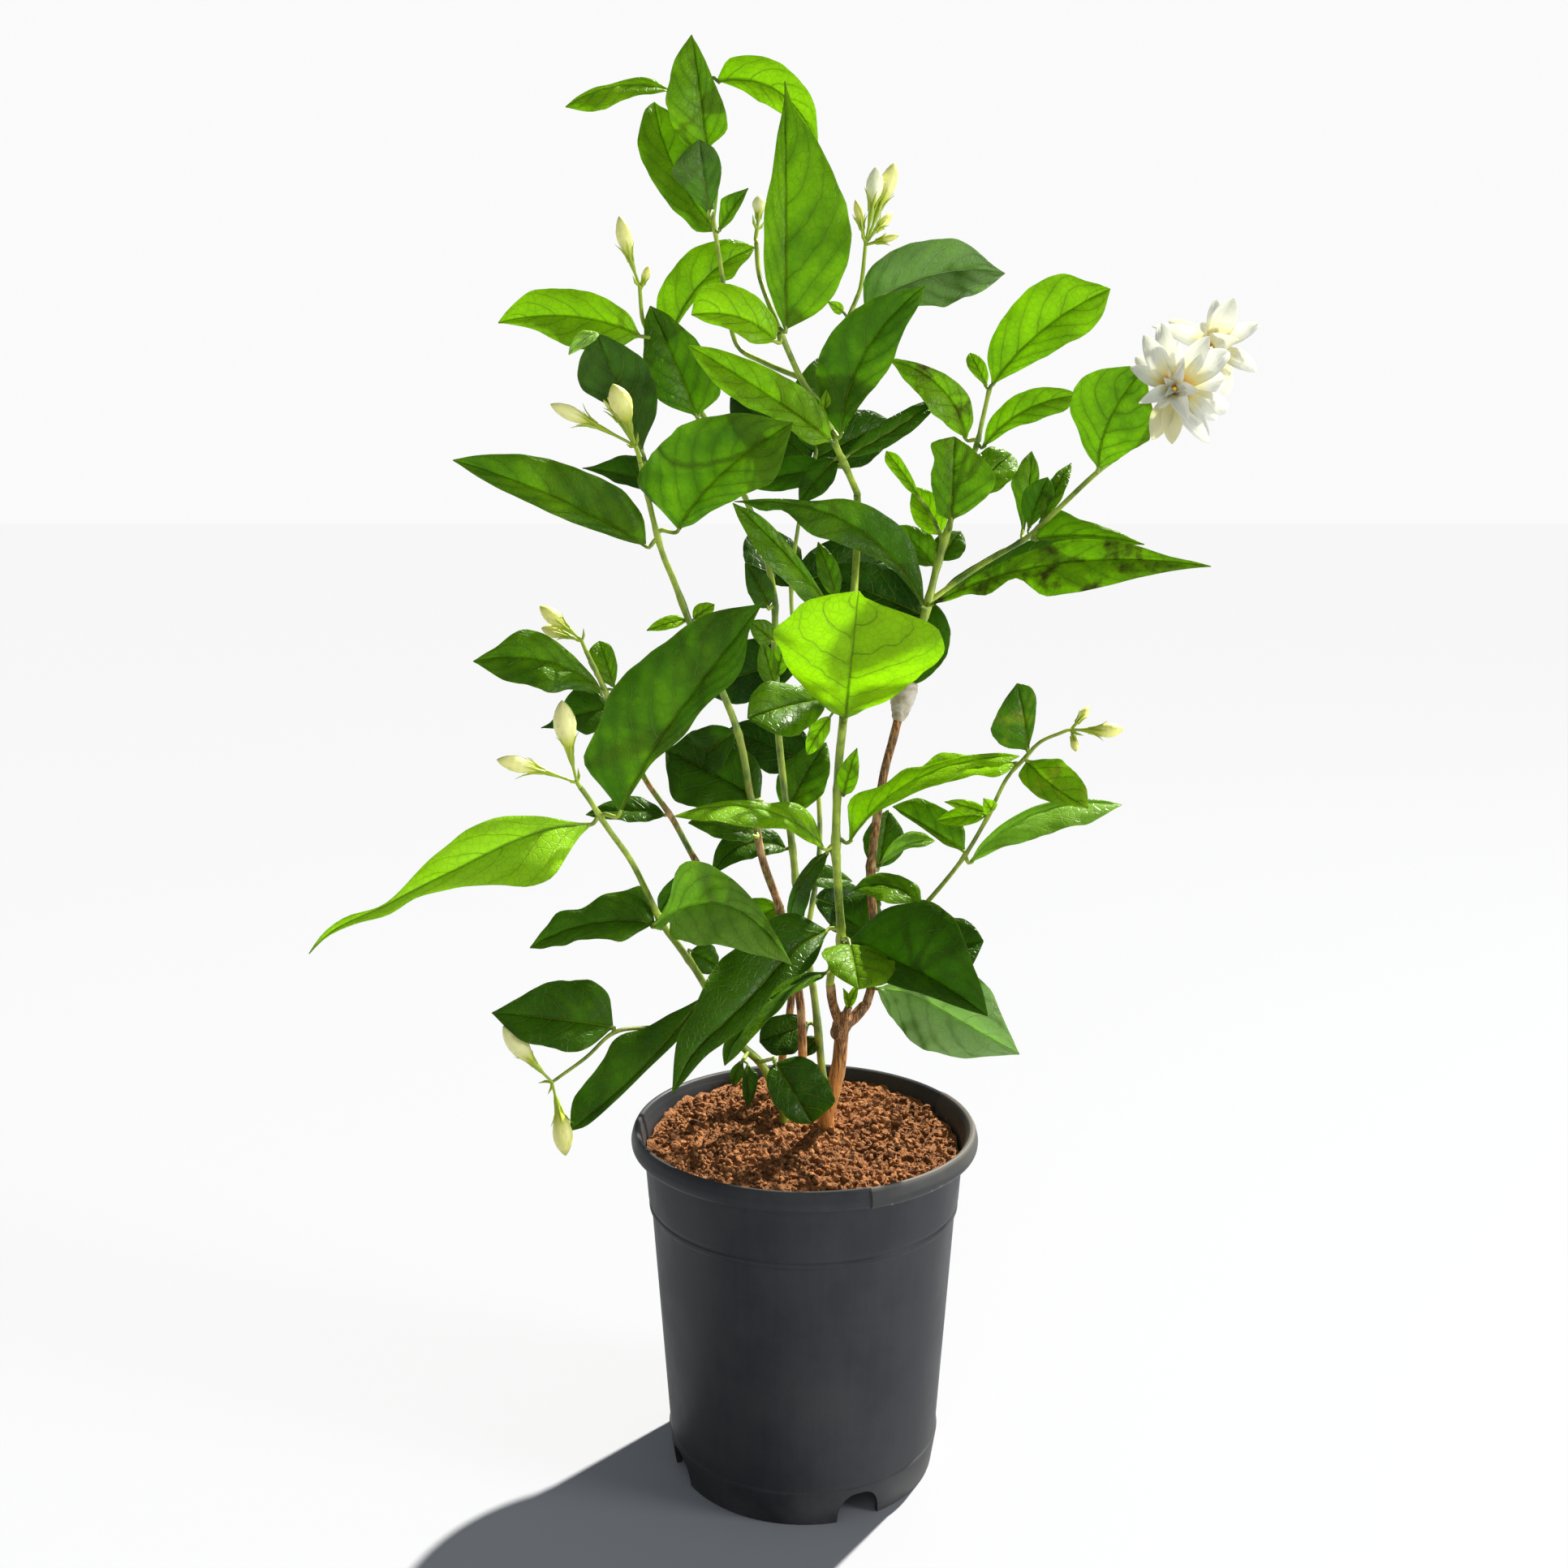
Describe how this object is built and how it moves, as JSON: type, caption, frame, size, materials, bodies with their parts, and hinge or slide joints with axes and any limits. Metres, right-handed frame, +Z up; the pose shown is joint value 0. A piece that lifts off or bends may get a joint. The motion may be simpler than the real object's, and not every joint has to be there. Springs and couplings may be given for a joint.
{
  "type": "potted jasmine shrub",
  "caption": "Young white-flowering jasmine shrub with glossy oval leaves, bud sprays and double blooms, in a round charcoal nursery pot of soil.",
  "frame": {"origin": "on the ground under the middle of the pot, at the underside of the pot's centre foot", "axes": "+Z up along the pot's axis, +X to the right and -Y towards the viewer in the front view"},
  "size_m": [0.3821, 0.2302, 0.636],
  "materials": {
    "pot": "satin charcoal blow-moulded plastic, dusty",
    "soil": "crumbly reddish-brown potting soil",
    "bark": "orange-brown to grey-brown bark",
    "leaf": "semi-gloss green leaf and green stem",
    "bud": "waxy cream flower bud with green calyx",
    "petal": "soft white petal",
    "tape": "translucent film tape, weathered"
  },
  "bodies": {
    "root": {"back_cane": "leaf", "back_top": "leaf", "bloom_back": "petal", "bloom_front": "petal", "bloom_stalk": "leaf", "bud_behind": "bud", "bud_shoot": "leaf", "buds_back_top": "bud", "buds_left": "bud", "buds_left_top": "bud", "buds_low_left": "bud", "buds_rear": "bud", "buds_right": "bud", "buds_top": "bud", "crown_shoot": "leaf", "flower_shoot": "leaf", "front_cane": "leaf", "graft_tape": "tape", "left_cane": "bark", "left_top": "leaf", "low_cane": "leaf", "low_left": "leaf", "low_side": "leaf", "low_twig": "leaf", "middle_cane": "leaf", "pot": "pot", "rear_cane": "bark", "rear_shoot": "leaf", "right_cane": "bark", "right_low": "leaf", "right_top": "leaf", "right_upper": "leaf", "soil": "soil", "top_cane": "leaf", "trunk": "bark"}
  },
  "joints": []
}
